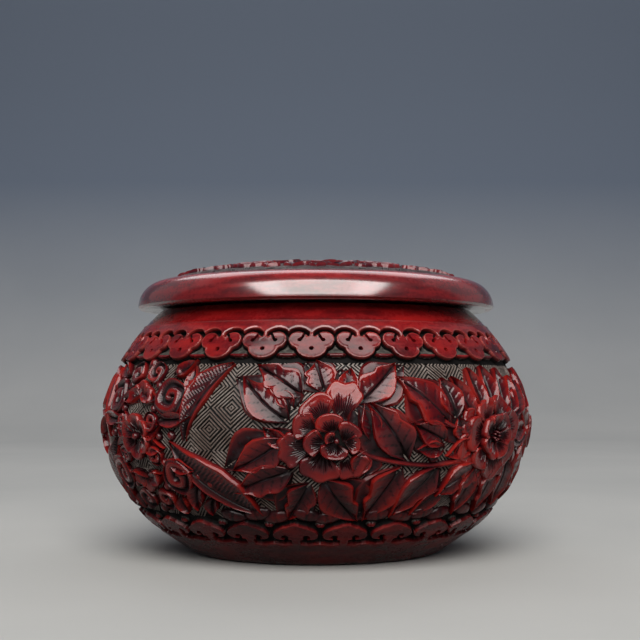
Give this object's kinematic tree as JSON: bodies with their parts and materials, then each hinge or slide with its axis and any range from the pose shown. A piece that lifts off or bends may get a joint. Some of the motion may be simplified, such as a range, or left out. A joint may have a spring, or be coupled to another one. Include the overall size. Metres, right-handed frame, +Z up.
{
  "type": "lidded jar",
  "caption": "Squat round lidded jar with carved relief of peonies and scroll borders, a wide mouth, a turned foot ring and a domed lift-off lid with a locating ring.",
  "frame": {"origin": "centre of the foot ring, on the surface that the jar stands on", "axes": "+Z up along the turning axis; -Y towards the viewer, the front of the jar; +X to the right"},
  "size_m": [0.1388, 0.1396, 0.0938],
  "materials": {
    "lacquered_wood": "turned wood under a thin black lacquer, satin",
    "black_lacquer": "polished black lacquer",
    "ground_lacquer": "dark brown lacquer cut with a fine square diaper",
    "smooth_red_lacquer": "polished cinnabar red lacquer",
    "carved_red_lacquer": "carved cinnabar red lacquer, glossy with dark recesses"
  },
  "bodies": {
    "jar": {"jar_core": "lacquered_wood", "foot_recess_coat": "black_lacquer", "ground_coat": "ground_lacquer", "shoulder_collar": "smooth_red_lacquer", "foot_band": "smooth_red_lacquer", "front_main_blossom": "carved_red_lacquer", "front_side_blossom": "carved_red_lacquer", "front_young_blossom": "carved_red_lacquer", "back_main_blossom": "carved_red_lacquer", "back_side_blossom": "carved_red_lacquer", "back_young_blossom": "carved_red_lacquer", "front_leaves": "carved_red_lacquer", "back_leaves": "carved_red_lacquer", "front_stems": "carved_red_lacquer", "back_stems": "carved_red_lacquer", "left_medallion": "carved_red_lacquer", "right_medallion": "carved_red_lacquer"},
    "lid": {"lid_core": "lacquered_wood", "lid_locating_ring": "lacquered_wood", "lid_hollow_coat": "black_lacquer", "lid_underside_coat": "black_lacquer", "lid_band": "smooth_red_lacquer", "lid_field_coat": "ground_lacquer", "lid_peony": "carved_red_lacquer", "lid_leaves": "carved_red_lacquer", "lid_buds": "carved_red_lacquer"}
  },
  "joints": [
    {"name": "lid_lift", "type": "slide", "parent": "jar", "child": "lid", "axis": [0, 0, 1], "range_m": [0, 0.06]}
  ]
}
